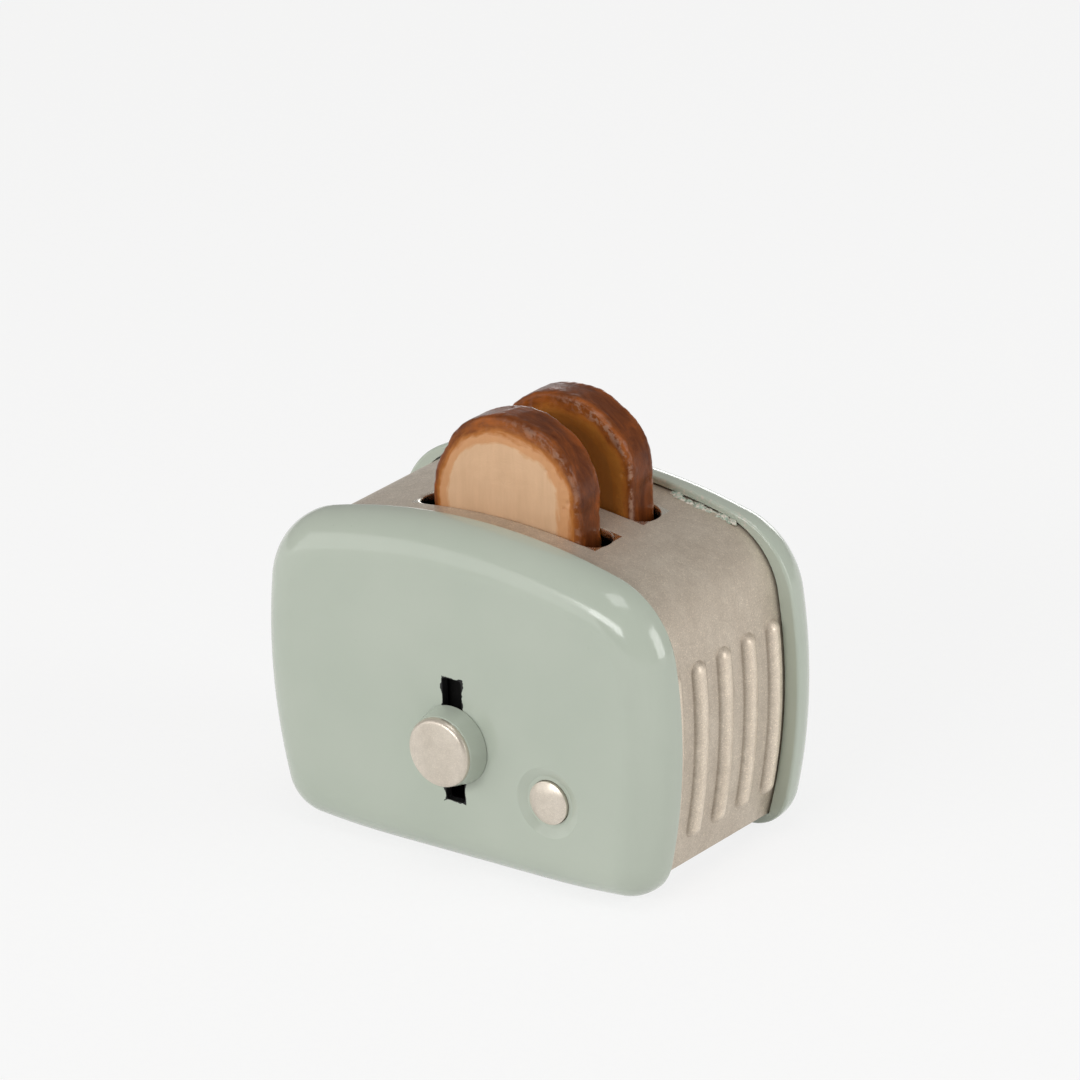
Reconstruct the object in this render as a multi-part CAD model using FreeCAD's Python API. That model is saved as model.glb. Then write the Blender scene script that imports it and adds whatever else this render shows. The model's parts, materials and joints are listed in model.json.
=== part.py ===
import FreeCAD
import Part
import math
import os

# Toy toaster with two slices of bread: a mint front and rear panel, a ribbed metal wrap between
# them, a lever knob that raises a bread carriage on two guide rods, and a small push button.
# Millimetres. X is the width, the front faces -Y, Z is up and 0 is the surface it stands on.
# The housing's middle plane is y = 0 here; export_all() moves the whole toaster so that the
# origin is under the middle of the bounding box, which the knob makes longer at the front.

# Panels: width, height and overall depth of the housing, the arcs of their outline, and how far
# the hollow behind the face stays inside that outline
panel_width = 56.0
panel_height = 40.6
housing_depth = 32.4
panel_depth = 5.3
panel_top_radius = 77.6
panel_side_radius = 66.4
waist_height = 20.6
panel_top_corner = 10.3
panel_bottom_corner = 5.6
panel_foot_half = 11.0
panel_foot_radius = 110.0
panel_edge_round = 4.6
panel_lip_round = 0.35
face_wall = 1.0
hollow_inset_top = 2.7
hollow_inset_side = 3.9
hollow_foot_corner = 2.0
seat_foot_corner = 0.3

# Wrap: sheet between the panels, its inset from their outline and how far it goes into them
wrap_inset_side = 2.1
wrap_inset_top = 1.05
wrap_sheet = 0.8
wrap_top_corner = 9.0
wrap_bottom = 2.2
wrap_seat_depth = 1.7
wrap_gap = 0.25

# Ribs pressed out of both sides of the wrap
rib_count = 5
rib_pitch = 4.68
rib_half_width = 1.25
rib_height = 0.7
rib_low = 5.6
rib_high = 27.0

# Bread slots in the top of the wrap, with turned-in lips
slot_middle_x = 0.85
slot_offset_y = 4.5
slot_length = 25.4
slot_width = 4.8
slot_corner = 2.3
slot_lip = 0.6
slot_lip_bottom = 36.3
slot_edge_round = 0.3

# Slices of bread
slice_thickness = 4.3
slice_half_width = 10.35
slice_top = 51.6
slice_height = 25.4
slice_crown_radius = 12.4
slice_shoulder_radius = 7.2
slice_neck_half_width = 9.85
slice_neck_angle = 6.0
slice_corner = 1.5
slice_edge_round = 0.9

# Lever: slot in the front panel, knob, stud and slider
lever_slot_width = 2.65
lever_slot_low = 8.3
lever_slot_high = 23.1
lever_slot_corner = 0.4
knob_height = 15.2
knob_radius = 4.7
knob_front_radius = 4.15
knob_reach = 3.4
knob_gap = 0.1
knob_edge_round = 0.25
knob_face_radius = 4.1
knob_face_thickness = 1.0
knob_face_edge = 0.62
knob_dome_rise = 0.22
knob_spigot_radius = 2.0
knob_spigot = 0.4
stud_radius = 1.15
stud_grip = 1.7
stud_end = 0.3
felt_thickness = 0.5
felt_radius = 3.4
felt_gap = 0.05
slider_half_width = 4.5
slider_low = 10.5
slider_sheet = 0.8
slider_corner = 1.2
slider_top_gap = 1.0
nut_across = 4.2
nut_thickness = 1.0

# Carriage, guide rods and bushes
carriage_sheet = 0.8
trough_wall = 0.6
trough_height = 2.5
trough_clearance = 0.25
trough_half_length = 11.2
carriage_flange_low = 17.6
carriage_bend = 0.7
ear_half_width = 2.6
ear_reach = 20.2
rod_offset = 17.5
rod_radius = 0.9
rod_running_gap = 0.06
bush_radius = 1.6
bush_collar_radius = 2.3
bush_collar = 0.5
bush_low = 24.0
bush_high = 27.1
rivet_radius = 0.7
rivet_head_radius = 1.2
rivet_head = 0.5
rivet_spacing = 5.0
rivet_height = 21.5

# Base plate, its screws and the lugs on the panels, and the straps that tie the panels
base_sheet = 0.8
base_half_width = 22.2
base_flange_height = 3.0
lug_half_width = 2.0
lug_offset = 17.0
lug_height = 3.5
lug_reach = 7.5
lug_round = 0.8
screw_offset_y = 9.4
screw_radius = 0.75
screw_clearance = 0.1
screw_length = 3.0
screw_head_radius = 1.4
screw_head = 0.6
screw_slot_half = 0.2
screw_slot_depth = 0.3
strap_half_width = 2.5
strap_bottom = 34.0
strap_sheet = 0.8
strap_flange = 3.0

# Push button, the dish around it, its spring and the bracket behind it
button_x = 12.9
button_z = 11.1
button_radius = 2.55
button_rise = 0.85
button_edge_share = 0.45
button_gap = 0.07
button_flange_gap = 0.05
button_flange_radius = 3.3
button_flange = 0.6
button_pin_radius = 0.7
button_pin_length = 2.4
dish_radius = 4.2
dish_floor_radius = 3.1
dish_depth = 0.45
cutter_margin = 0.2
spring_radius = 1.35
spring_wire = 0.2
spring_turns = 2.5
bracket_half_length = 5.2
bracket_half_width = 1.6
bracket_sheet = 0.7
bracket_back = 11.0
bracket_bend = 0.8

half_width = panel_width / 2
half_depth = housing_depth / 2
lip_y = half_depth - panel_depth
face_inside = half_depth - face_wall
wrap_half_length = lip_y + wrap_seat_depth
wrap_half_width = half_width - wrap_inset_side
wrap_height = panel_height - wrap_inset_top
slice_bottom = slice_top - slice_height
X = FreeCAD.Vector(1, 0, 0)
Y = FreeCAD.Vector(0, 1, 0)
Z = FreeCAD.Vector(0, 0, 1)


def at(x, y, z):
    return FreeCAD.Vector(x, y, z)


def block(x_range, y_range, z_range):
    """Box from a low and a high value along each axis."""
    low = at(x_range[0], y_range[0], z_range[0])
    return Part.makeBox(x_range[1] - x_range[0], y_range[1] - y_range[0], z_range[1] - z_range[0], low)


def rod(radius, start, end):
    """Cylinder from one point to another."""
    return Part.makeCylinder(radius, (end - start).Length, start, end - start)


def mirrored_x(shape):
    return shape.mirror(at(0, 0, 0), X)


def mirrored_y(shape):
    return shape.mirror(at(0, 0, 0), Y)


def arc_about(centre, start, end):
    """Arc of less than half a turn from start to end about centre."""
    radius = (start - centre).Length
    middle = centre + ((start + end) * 0.5 - centre).normalize() * radius
    return Part.Arc(start, middle, end).toShape()


def touch(centre, towards, radius):
    """Point of a circle that lies in the direction of another point."""
    return centre + (towards - centre).normalize() * radius


def meeting(centre_a, radius_a, centre_b, radius_b):
    """Upper right point where two circles in the XZ plane meet."""
    along = centre_b - centre_a
    gap = along.Length
    foot = (gap * gap + radius_a * radius_a - radius_b * radius_b) / (2 * gap)
    rise = math.sqrt(radius_a * radius_a - foot * foot)
    unit = along.normalize()
    across = at(-unit.z, 0, unit.x)
    if across.x < 0:
        across = across * -1
    return centre_a + unit * foot + across * rise


def arched_face(half, height, top_corner, bottom_corner, floor, y, foot_half=None):
    """Face with a bowed top, bowed sides, rounded corners and a flat floor, in the plane of y.

    Its arcs share the centres of the panel's own arcs, so an inset outline stays parallel. With
    foot_half, the floor is flat only that far from the middle and then curves gently upwards.
    """
    side_radius = panel_side_radius - (half_width - half)
    top_radius = panel_top_radius - (panel_height - height)
    side_centre = at(half - side_radius, y, waist_height)
    top_centre = at(0, y, height - top_radius)
    top_turn = meeting(top_centre, top_radius - top_corner, side_centre, side_radius - top_corner)
    if foot_half is None:
        turn_z = floor + bottom_corner
        reach = math.sqrt((side_radius - bottom_corner) ** 2 - (turn_z - waist_height) ** 2)
        low_turn = at(side_centre.x + reach, y, turn_z)
        floor_end = at(low_turn.x, y, floor)
        foot = [Part.makeLine(floor_end, at(0, y, floor))]
    else:
        foot_centre = at(foot_half, y, floor + panel_foot_radius)
        low_turn = meeting(side_centre, side_radius - bottom_corner,
                           foot_centre, panel_foot_radius - bottom_corner)
        floor_end = touch(foot_centre, low_turn, panel_foot_radius)
        flat_end = at(foot_half, y, floor)
        foot = [arc_about(foot_centre, floor_end, flat_end), Part.makeLine(flat_end, at(0, y, floor))]

    top_end = touch(top_centre, top_turn, top_radius)
    side_high = touch(side_centre, top_turn, side_radius)
    side_low = touch(side_centre, low_turn, side_radius)
    right = [
        arc_about(top_centre, at(0, y, height), top_end),
        arc_about(top_turn, top_end, side_high),
        arc_about(side_centre, side_high, side_low),
        arc_about(low_turn, side_low, floor_end),
    ] + foot
    left = [edge.mirror(at(0, y, 0), X) for edge in right]
    return Part.Face(Part.Wire(Part.__sortEdges__(right + left)))


def edges_at_y(shape, y):
    return [edge for edge in shape.Edges if all(abs(v.Point.y - y) < 0.01 for v in edge.Vertexes)]


def panel_blank():
    """Front panel with its rounded edge, the seat of the wrap and the hollow behind the face."""
    front = -half_depth
    outer = arched_face(half_width, panel_height, panel_top_corner, panel_bottom_corner, 0, front,
                        panel_foot_half)
    blank = outer.extrude(Y * panel_depth)
    blank = blank.makeFillet(panel_edge_round, edges_at_y(blank, front))
    blank = blank.makeFillet(panel_lip_round, edges_at_y(blank, -lip_y))

    seat_half = wrap_half_width + wrap_gap
    seat_top = wrap_height + wrap_gap
    seat_corner = wrap_top_corner + wrap_gap
    seat_face = arched_face(seat_half, seat_top, seat_corner, seat_foot_corner, wrap_bottom,
                            -wrap_half_length)
    seat = seat_face.extrude(Y * (wrap_seat_depth + 1))
    hollow_face = arched_face(half_width - hollow_inset_side, panel_height - hollow_inset_top,
                              panel_top_corner - hollow_inset_top, hollow_foot_corner,
                              wrap_bottom + base_sheet, -face_inside)
    hollow = hollow_face.extrude(Y * (panel_depth + 1))
    return blank.cut(seat).cut(hollow)


def lugs():
    """Two lugs on the inside of the front panel that take the base plate's screws."""
    low = wrap_bottom + base_sheet
    pair = []
    for side in (-1, 1):
        middle = side * lug_offset
        lug = block((middle - lug_half_width, middle + lug_half_width),
                    (-face_inside - 0.3, -lug_reach), (low, low + lug_height))
        top_ends = [e for e in lug.Edges if e.BoundBox.ZMin > low + 1 and e.BoundBox.XLength < 0.01]
        lug = lug.makeFillet(lug_round, top_ends)
        hole = rod(screw_radius, at(middle, -screw_offset_y, low - 1),
                   at(middle, -screw_offset_y, low + screw_length))
        pair.append(lug.cut(hole))
    return pair


def rounded_bar(x_middle, y_middle, length_x, length_y, corner, z_range):
    """Upright bar of rounded rectangular section."""
    bar = block((x_middle - length_x / 2, x_middle + length_x / 2),
                (y_middle - length_y / 2, y_middle + length_y / 2), z_range)
    upright = [e for e in bar.Edges if abs(e.Vertexes[0].Point.z - e.Vertexes[-1].Point.z) > 0.01]
    return bar.makeFillet(corner, upright)


def make_front_panel():
    panel = panel_blank().fuse(lugs())
    slot_middle = (lever_slot_low + lever_slot_high) / 2
    slot = rounded_bar(0, slot_middle, lever_slot_width, lever_slot_high - lever_slot_low,
                       lever_slot_corner, (0, 2 * face_wall))
    # the bar stands upright along Z; turning it by 90 degrees about X lays it through the face
    slot.rotate(at(0, 0, 0), X, 90)
    slot.translate(at(0, face_wall * 1.5 - half_depth, 0))
    hole = rod(button_radius + button_gap, at(button_x, -half_depth - 1, button_z),
               at(button_x, -half_depth + 3, button_z))
    dish_slope = (dish_radius - dish_floor_radius) / dish_depth
    dish = Part.makeCone(dish_radius + dish_slope * cutter_margin, dish_floor_radius,
                         dish_depth + cutter_margin,
                         at(button_x, -half_depth - cutter_margin, button_z), Y)
    panel = panel.cut(slot).cut(dish).cut(hole)
    return panel.removeSplitter()


def make_rear_panel():
    return mirrored_y(panel_blank().fuse(lugs())).removeSplitter()


def rib(y):
    """Rib on the right side: a round bar bent along the side's arc, with ball ends."""
    bar_radius = (rib_half_width ** 2 + rib_height ** 2) / (2 * rib_height)
    side_radius = panel_side_radius - wrap_inset_side
    side_centre = at(wrap_half_width - side_radius, y, waist_height)
    path_radius = side_radius + rib_height - bar_radius
    low_z = rib_low + rib_half_width
    high_z = rib_high - rib_half_width
    low_angle = math.asin((low_z - waist_height) / path_radius)
    high_angle = math.asin((high_z - waist_height) / path_radius)
    ends = [side_centre + at(math.cos(a), 0, math.sin(a)) * path_radius for a in (low_angle, high_angle)]
    radial = (ends[0] - side_centre).normalize()
    tangent = at(-radial.z, 0, radial.x)
    section = Part.Face(Part.Wire(Part.makeCircle(bar_radius, ends[0], tangent)))
    # turning about -Y carries the section from the low end up to the high end
    bar = section.revolve(side_centre, Y * -1, math.degrees(high_angle - low_angle))
    return bar.fuse([Part.makeSphere(bar_radius, end) for end in ends])


def make_body_wrap():
    """Arch of sheet with five ribs a side and two slots with turned-in lips."""
    below = -9.0
    outer_face = arched_face(wrap_half_width, wrap_height, wrap_top_corner, 1.0, below, -wrap_half_length)
    outer = outer_face.extrude(Y * (2 * wrap_half_length))
    inner_face = arched_face(wrap_half_width - wrap_sheet, wrap_height - wrap_sheet,
                             wrap_top_corner - wrap_sheet, 0.5, below + 0.4, -wrap_half_length - 1)
    inner = inner_face.extrude(Y * (2 * wrap_half_length + 2))
    ribs = []
    for number in range(rib_count):
        y = (number - (rib_count - 1) / 2) * rib_pitch
        ribs.append(rib(y))
        ribs.append(mirrored_x(rib(y)))
    lips = []
    openings = []
    for side in (-1, 1):
        y = side * slot_offset_y
        lip = rounded_bar(slot_middle_x, y, slot_length + 2 * slot_lip, slot_width + 2 * slot_lip,
                          slot_corner + slot_lip, (slot_lip_bottom, panel_height + 5))
        lips.append(lip.common(outer))
        openings.append(rounded_bar(slot_middle_x, y, slot_length, slot_width, slot_corner,
                                    (slot_lip_bottom - 5, panel_height + 6)))
    sheet = outer.fuse(ribs).cut(inner).fuse(lips)
    for opening in openings:
        sheet = sheet.cut(opening)
    sheet = sheet.cut(block((-40, 40), (-30, 30), (below - 5, wrap_bottom))).removeSplitter()
    rims = [e for e in sheet.Edges if e.BoundBox.ZMin > wrap_height - 1.6
            and abs(e.CenterOfMass.x - slot_middle_x) < slot_length / 2 + 0.1
            and abs(abs(e.CenterOfMass.y) - slot_offset_y) < slot_width / 2 + 0.1]
    return sheet.makeFillet(slot_edge_round, rims)


def make_base_plate():
    """Tray that closes the bottom, with a turned-up flange beside each wall of the wrap."""
    low = wrap_bottom
    plate = block((-base_half_width, base_half_width), (-wrap_half_length, wrap_half_length),
                  (low, low + base_sheet))
    holes = []
    for side_x in (-1, 1):
        inner = side_x * (base_half_width - base_sheet)
        edge = side_x * base_half_width
        flange = block((min(inner, edge), max(inner, edge)), (-lip_y + 1, lip_y - 1),
                       (low, low + base_flange_height))
        plate = plate.fuse(flange)
        for side_y in (-1, 1):
            spot = at(side_x * lug_offset, side_y * screw_offset_y, low - 1)
            holes.append(rod(screw_radius + screw_clearance, spot, spot + Z * 3))
        foot = at(side_x * rod_offset, 0, low - 1)
        holes.append(rod(rod_radius, foot, foot + Z * 3))
    return plate.cut(holes).removeSplitter()


def make_base_screws():
    screws = []
    for side_x in (-1, 1):
        for side_y in (-1, 1):
            top = at(side_x * lug_offset, side_y * screw_offset_y, wrap_bottom)
            head = rod(screw_head_radius, top - Z * screw_head, top)
            slot = block((top.x - screw_head_radius, top.x + screw_head_radius),
                         (top.y - screw_slot_half, top.y + screw_slot_half),
                         (wrap_bottom - screw_head - 1, wrap_bottom - screw_head + screw_slot_depth))
            shank = rod(screw_radius, top, top + Z * (base_sheet + screw_length))
            screws.append(head.cut(slot).fuse(shank))
    return Part.makeCompound(screws)


def make_tie_strap(side):
    """Strap from the front panel to the rear one, which also holds the top of a guide rod."""
    middle = side * rod_offset
    x_range = (middle - strap_half_width, middle + strap_half_width)
    strap = block(x_range, (-face_inside, face_inside), (strap_bottom, strap_bottom + strap_sheet))
    for end in (-1, 1):
        outside = end * face_inside
        inside = end * (face_inside - strap_sheet)
        flange = block(x_range, (min(outside, inside), max(outside, inside)),
                       (strap_bottom - strap_flange, strap_bottom))
        strap = strap.fuse(flange)
    strap = strap.removeSplitter()
    bends = [e for e in strap.Edges if abs(e.Length - 2 * strap_half_width) < 0.01
             and e.BoundBox.ZMin > strap_bottom + 0.1 and abs(e.CenterOfMass.y) > face_inside - 0.1]
    strap = strap.makeFillet(strap_sheet, bends)
    seat = at(middle, 0, strap_bottom - 1)
    return strap.cut(rod(rod_radius, seat, seat + Z * 3))


def make_guide_rod(side):
    """Rod staked in the base plate and in the tie strap."""
    foot = at(side * rod_offset, 0, wrap_bottom)
    head = at(side * rod_offset, 0, strap_bottom + strap_sheet)
    return rod(rod_radius, foot, head)


def make_bush(side):
    """Flanged bush pressed into an ear of the carriage."""
    low = at(side * rod_offset, 0, bush_low)
    high = at(side * rod_offset, 0, bush_high)
    floor_low = at(side * rod_offset, 0, slice_bottom - carriage_sheet - bush_collar)
    collar_top = at(side * rod_offset, 0, slice_bottom - carriage_sheet)
    bush = rod(bush_radius, low, high).fuse(rod(bush_collar_radius, floor_low, collar_top))
    return bush.cut(rod(rod_radius + rod_running_gap, low - Z, high + Z)).removeSplitter()


def make_carriage():
    """Bent-sheet carrier with a trough under each slice, two ears and a flange for the slider."""
    top = slice_bottom
    floor = (top - carriage_sheet, top)
    trough_x = (slot_middle_x - trough_half_length, slot_middle_x + trough_half_length)
    near = slot_offset_y - slice_thickness / 2 - trough_clearance
    far = slot_offset_y + slice_thickness / 2 + trough_clearance
    plate_back = -(face_inside - felt_gap - felt_thickness - slider_sheet)
    carriage = block(trough_x, (-far - trough_wall, far + trough_wall), floor)
    carriage = carriage.fuse(block((-ear_reach, ear_reach), (-ear_half_width, ear_half_width), floor))
    carriage = carriage.fuse(block((-slider_half_width, slider_half_width), (plate_back, -far), floor))
    flange = block((-slider_half_width, slider_half_width), (plate_back, plate_back + carriage_sheet),
                   (carriage_flange_low, top))
    bend = [e for e in flange.Edges if abs(e.Length - 2 * slider_half_width) < 0.01
            and e.BoundBox.ZMin > top - 0.01 and e.BoundBox.YMax < plate_back + 0.01]
    carriage = carriage.fuse(flange.makeFillet(carriage_bend, bend))
    for low, high in ((-far - trough_wall, -far), (-near, -near + trough_wall),
                      (near - trough_wall, near), (far, far + trough_wall)):
        carriage = carriage.fuse(block(trough_x, (low, high), (top, top + trough_height)))
    for side in (-1, 1):
        seat = at(side * rod_offset, 0, top - 3)
        carriage = carriage.cut(rod(bush_radius, seat, seat + Z * 6))
        hole = at(side * rivet_spacing / 2, plate_back - 1, rivet_height)
        carriage = carriage.cut(rod(rivet_radius, hole, hole + Y * 4))
    return carriage.removeSplitter()


def slider_range():
    front = -(face_inside - felt_gap - felt_thickness)
    return (front, front + slider_sheet)


def make_slider_plate():
    """Upright plate behind the front panel that covers the lever slot."""
    plate = block((-slider_half_width, slider_half_width), slider_range(),
                  (slider_low, slice_bottom - slider_top_gap))
    corners = [e for e in plate.Edges if abs(e.Length - slider_sheet) < 0.01]
    plate = plate.makeFillet(slider_corner, corners)
    front = slider_range()[0]
    centre = at(0, front - 1, knob_height)
    plate = plate.cut(rod(stud_radius, centre, centre + Y * 4))
    for side in (-1, 1):
        hole = at(side * rivet_spacing / 2, front - 1, rivet_height)
        plate = plate.cut(rod(rivet_radius, hole, hole + Y * 4))
    return plate


def make_rivets():
    """Two rivets through the slider plate and the carriage's flange."""
    front, back = slider_range()
    rear_end = back + carriage_sheet
    rivets = []
    for side in (-1, 1):
        x = side * rivet_spacing / 2
        tip = at(x, rear_end + rivet_head, rivet_height)
        shank = rod(rivet_radius, at(x, front, rivet_height), tip)
        head = rod(rivet_head_radius, at(x, rear_end, rivet_height), tip)
        rivets.append(shank.fuse(head).removeSplitter())
    return Part.makeCompound(rivets)


def make_stud():
    """Stud that joins the knob to the slider plate through the slot."""
    start = -(half_depth + knob_gap + stud_grip)
    end = slider_range()[1] + nut_thickness + stud_end
    return rod(stud_radius, at(0, start, knob_height), at(0, end, knob_height))


def make_felt_washer():
    start = at(0, -(face_inside - felt_gap), knob_height)
    disc = rod(felt_radius, start, start + Y * felt_thickness)
    return disc.cut(rod(stud_radius, start - Y, start + Y * 2))


def make_stud_nut():
    start = at(0, slider_range()[1], knob_height)
    radius = nut_across / 2 / math.cos(math.radians(30))
    angles = [math.radians(60 * n) for n in range(7)]
    corners = [start + at(radius * math.cos(a), 0, radius * math.sin(a)) for a in angles]
    nut = Part.Face(Part.makePolygon(corners)).extrude(Y * nut_thickness)
    return nut.cut(rod(stud_radius, start - Y, start + Y * 3))


def turned(profile_edges, x, z):
    """Solid turned about the Y direction through x and z, from edges in the plane of z."""
    face = Part.Face(Part.Wire(Part.__sortEdges__(profile_edges)))
    return face.revolve(at(x, 0, z), Y, 360)


def knob_seam():
    """Plane where the silver face meets the mint knob."""
    return -(half_depth + knob_reach - knob_face_thickness)


def make_knob():
    """Tapered knob with a socket for its face disc and a blind bore for the stud."""
    back = at(0, -(half_depth + knob_gap), knob_height)
    seam = knob_seam()
    knob = Part.makeCone(knob_radius, knob_front_radius, back.y - seam, back, Y * -1)
    knob = knob.makeFillet(knob_edge_round, edges_at_y(knob, seam))
    socket = rod(knob_spigot_radius, at(0, seam - 1, knob_height), at(0, seam + knob_spigot, knob_height))
    bore = rod(stud_radius, back + Y, back - Y * stud_grip)
    return knob.cut(socket).cut(bore)


def make_knob_face():
    """Silver disc like a small cushion, with a round edge and a spigot in the knob's socket."""
    z = knob_height
    seam = knob_seam()
    tip = at(0, seam - knob_face_thickness, z)
    shoulder_x = knob_face_radius - knob_face_edge
    shoulder = at(shoulder_x, tip.y + knob_dome_rise, z)
    waist = at(knob_face_radius, shoulder.y + knob_face_edge, z)
    round_centre = at(shoulder_x, shoulder.y + knob_face_edge, z)
    crown = Part.Arc(tip, at(shoulder_x * 0.55, tip.y + knob_dome_rise * 0.3, z), shoulder).toShape()
    corners = [waist, at(knob_face_radius, seam, z), at(knob_spigot_radius, seam, z),
               at(knob_spigot_radius, seam + knob_spigot, z), at(0, seam + knob_spigot, z), tip]
    lines = [Part.makeLine(a, b) for a, b in zip(corners, corners[1:])]
    return turned([crown, arc_about(round_centre, shoulder, waist)] + lines, 0, z)


def make_push_button():
    """Button with a low dome, a flange behind the panel and a pin inside the spring."""
    z = button_z
    x = button_x
    flange_front = -(face_inside - button_flange_gap)
    shoulder_y = -(half_depth - dish_depth) - button_rise * button_edge_share
    tip = at(x, -(half_depth - dish_depth) - button_rise, z)
    shoulder = at(x + button_radius, shoulder_y, z)
    head = at(x + button_radius, flange_front, z)
    flange_edge = at(x + button_flange_radius, flange_front, z)
    flange_back = at(x + button_flange_radius, flange_front + button_flange, z)
    pin_root = at(x + button_pin_radius, flange_front + button_flange, z)
    pin_tip = at(x + button_pin_radius, flange_front + button_flange + button_pin_length, z)
    pin_centre = at(x, pin_tip.y, z)
    crown = Part.Arc(tip, at(x + button_radius * 0.72, tip.y + button_rise * 0.16, z), shoulder).toShape()
    corners = [shoulder, head, flange_edge, flange_back, pin_root, pin_tip, pin_centre, tip]
    lines = [Part.makeLine(a, b) for a, b in zip(corners, corners[1:])]
    return turned([crown] + lines, x, z)


def make_button_spring():
    """Coil spring between the button's flange and its bracket."""
    start = -(face_inside - button_flange_gap) + button_flange + spring_wire
    length = -bracket_back - spring_wire - start
    helix = Part.makeHelix(length / spring_turns, length, spring_radius)
    section = Part.Wire(Part.makeCircle(spring_wire, at(spring_radius, 0, 0), Y))
    coil = Part.Wire(helix).makePipeShell([section], True, True)
    coil.rotate(at(0, 0, 0), X, -90)
    coil.translate(at(button_x, start, button_z))
    return coil


def make_button_bracket():
    """Bridge fixed inside the front panel that the button's spring leans on."""
    x_range = (button_x - bracket_half_length, button_x + bracket_half_length)
    z_range = (button_z - bracket_half_width, button_z + bracket_half_width)
    outer = block(x_range, (-face_inside, -bracket_back + bracket_sheet), z_range)
    bends = [e for e in outer.Edges if abs(e.Length - 2 * bracket_half_width) < 0.01
             and e.BoundBox.YMin > -bracket_back]
    outer = outer.makeFillet(bracket_bend, bends)
    inside = block((x_range[0] + bracket_sheet, x_range[1] - bracket_sheet),
                   (-face_inside - 1, -bracket_back), (z_range[0] - 1, z_range[1] + 1))
    return outer.cut(inside)


def make_slice(side):
    """Slice of bread with a domed crown, slightly wider shoulders and a rounded edge."""
    y = side * slot_offset_y - slice_thickness / 2
    crown_centre = at(0, y, slice_top - slice_crown_radius)
    shoulder_x = slice_half_width - slice_shoulder_radius
    rise = math.sqrt((slice_crown_radius - slice_shoulder_radius) ** 2 - shoulder_x ** 2)
    shoulder = at(shoulder_x, y, crown_centre.z + rise)
    crown_end = touch(crown_centre, shoulder, slice_crown_radius)
    lean = math.radians(slice_neck_angle)
    neck_start = shoulder + at(math.cos(lean), 0, -math.sin(lean)) * slice_shoulder_radius
    neck_drop = (neck_start.x - slice_neck_half_width) / math.tan(lean)
    neck_end = at(slice_neck_half_width, y, neck_start.z - neck_drop)
    corner = at(slice_neck_half_width, y, slice_bottom)
    right = [
        arc_about(crown_centre, at(0, y, slice_top), crown_end),
        arc_about(shoulder, crown_end, neck_start),
        Part.makeLine(neck_start, neck_end),
        Part.makeLine(neck_end, corner),
        Part.makeLine(corner, at(0, y, slice_bottom)),
    ]
    left = [edge.mirror(at(0, y, 0), X) for edge in right]
    loaf = Part.Face(Part.Wire(Part.__sortEdges__(right + left))).extrude(Y * slice_thickness)
    upright = [e for e in loaf.Edges if e.BoundBox.ZMax < slice_bottom + 0.01 and e.BoundBox.XLength < 0.01]
    loaf = loaf.makeFillet(slice_corner, upright)
    loaf = loaf.makeFillet(slice_edge_round, edges_at_y(loaf, y) + edges_at_y(loaf, y + slice_thickness))
    loaf.translate(at(slot_middle_x, 0, 0))
    return loaf


def export_all():
    nodes = {
        "front_panel": make_front_panel(),
        "rear_panel": make_rear_panel(),
        "body_wrap": make_body_wrap(),
        "base_plate": make_base_plate(),
        "base_screws": make_base_screws(),
        "tie_strap_left": make_tie_strap(-1),
        "tie_strap_right": make_tie_strap(1),
        "guide_rod_left": make_guide_rod(-1),
        "guide_rod_right": make_guide_rod(1),
        "button_bracket": make_button_bracket(),
        "button_spring": make_button_spring(),
        "push_button": make_push_button(),
        "lever_knob": make_knob(),
        "knob_face": make_knob_face(),
        "lever_stud": make_stud(),
        "stud_nut": make_stud_nut(),
        "felt_washer": make_felt_washer(),
        "slider_plate": make_slider_plate(),
        "carriage_rivets": make_rivets(),
        "bread_carriage": make_carriage(),
        "guide_bush_left": make_bush(-1),
        "guide_bush_right": make_bush(1),
        "bread_slice_front": make_slice(-1),
        "bread_slice_rear": make_slice(1),
    }
    os.makedirs("parts", exist_ok=True)
    for name, shape in nodes.items():
        shape.translate(at(0, knob_reach / 2, 0))
        shape.exportStep("parts/" + name + ".step")
        print(name, "valid" if shape.isValid() else "NOT VALID", len(shape.Solids), round(shape.Volume, 2))


export_all()
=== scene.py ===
import bpy
import json
import math
import random
from mathutils import Matrix, Vector, noise


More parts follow.
